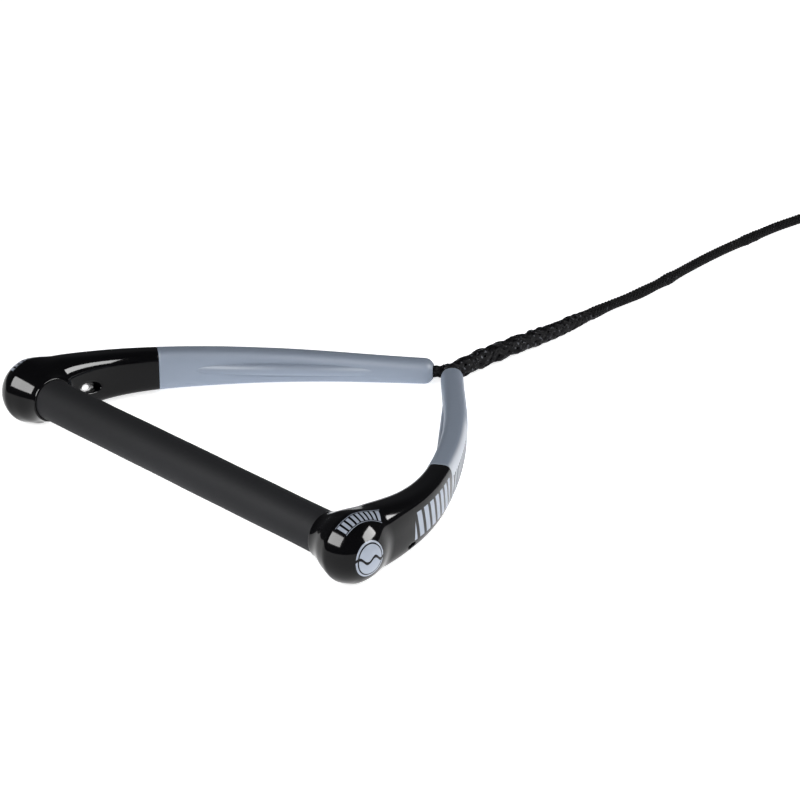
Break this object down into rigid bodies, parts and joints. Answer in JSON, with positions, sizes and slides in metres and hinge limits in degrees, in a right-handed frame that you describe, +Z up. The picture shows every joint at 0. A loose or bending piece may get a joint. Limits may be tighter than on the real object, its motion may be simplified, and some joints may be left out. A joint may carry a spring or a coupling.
{
  "type": "tow rope handle",
  "caption": "Water-ski tow rope handle: rubber-gripped bar in moulded ball ends, V of guarded bridle arms, and a braided rope with a spliced end loop.",
  "frame": {"origin": "middle of the bar's axis, where the hands hold it", "axes": "+X along the bar, +Y from the bar towards the rope, +Z up from the floor it lies on"},
  "size_m": [0.3424, 0.6975, 0.0423],
  "materials": {
    "tube_aluminium": "anodised tube, covered by the grip and the moulded ends",
    "grip_rubber": "matte fine-grained rubber",
    "foam": "closed-cell foam",
    "plug_rubber": "soft plug",
    "cap_plastic": "moulded cap",
    "gloss_black": "high-gloss black moulding with plain grey stripes and a plain ring",
    "grey_guard": "satin blue-grey moulding",
    "bridle_rope": "black braided polyethylene",
    "rope_black": "black braided polyethylene with a few grey glints",
    "strap_webbing": "black woven hook and loop strap"
  },
  "bodies": {
    "handle": {"bar_tube": "tube_aluminium", "grip_sleeve": "grip_rubber", "bar_foam_core": "foam", "right_bar_plug": "plug_rubber", "left_bar_plug": "plug_rubber", "right_stopper_knot": "bridle_rope", "left_stopper_knot": "bridle_rope", "right_tube_end_cap": "cap_plastic", "left_tube_end_cap": "cap_plastic", "right_end_moulding": "gloss_black", "left_end_moulding": "gloss_black", "right_arm_guard": "grey_guard", "left_arm_guard": "grey_guard", "right_rope_leg": "bridle_rope", "left_rope_leg": "bridle_rope"},
    "rope": {"throat_splice": "rope_black", "rope_lead": "rope_black", "rope_coil": "rope_black", "coil_tie": "strap_webbing", "rope_tail": "rope_black", "end_loop_splice": "rope_black", "end_loop": "rope_black"}
  },
  "joints": [
    {"name": "rope_swing", "type": "hinge", "parent": "handle", "child": "rope", "pos_m": [0, 0.21557, -0.01356], "axis": [1, 0, 0], "range_deg": [-75, 75]}
  ]
}
